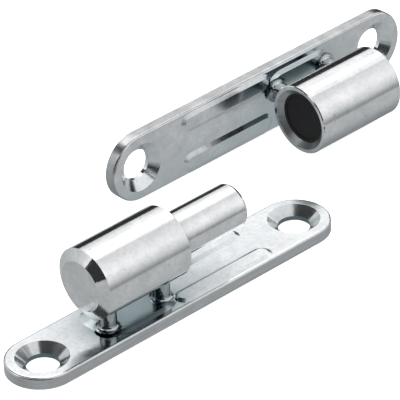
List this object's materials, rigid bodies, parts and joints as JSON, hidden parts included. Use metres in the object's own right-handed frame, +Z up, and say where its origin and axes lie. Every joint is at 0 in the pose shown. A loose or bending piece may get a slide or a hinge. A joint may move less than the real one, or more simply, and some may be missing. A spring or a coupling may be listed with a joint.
{
  "type": "lift-off door hinge",
  "caption": "Lift-off hinge with stadium-ended countersunk mounting plates, round barrels raised on stems, and a pin that drops into the lined, chamfered barrel of the door leaf.",
  "frame": {"origin": "middle of the frame plate's back face", "axes": "+X along the hinge pin towards its tip, +Z up and away from the frame leaf's back face, +Y towards the door leaf"},
  "size_m": [0.1177, 0.037, 0.0196],
  "materials": {
    "plate_steel": "bright zinc-plated pressing",
    "turned_steel": "bright zinc-plated turning",
    "bearing_plastic": "moulded black nylon"
  },
  "bodies": {
    "frame_leaf": {"frame_plate": "plate_steel", "frame_knuckle": "turned_steel", "hinge_pin": "turned_steel", "frame_stem_outer": "turned_steel", "frame_stem_inner": "turned_steel"},
    "pad": {"thrust_pad": "bearing_plastic"},
    "liner": {"knuckle_liner": "bearing_plastic"},
    "door_leaf": {"door_plate": "plate_steel", "door_knuckle": "turned_steel", "door_stem_mouth": "turned_steel", "door_stem_closed": "turned_steel"}
  },
  "joints": [
    {"name": "lay_apart", "type": "slide", "parent": "frame_leaf", "child": "pad", "axis": [-0.8789, -0.4592, 0.1289], "range_m": [0, 0.038]},
    {"name": "slip_onto_pin", "type": "slide", "parent": "pad", "child": "liner", "axis": [1, 0, 0], "range_m": [-0.01445, 0]},
    {"name": "swing", "type": "hinge", "parent": "liner", "child": "door_leaf", "pos_m": [0.0559, 0.0157, 0.0082], "axis": [1, 0, 0], "range_deg": [0, 125]}
  ]
}
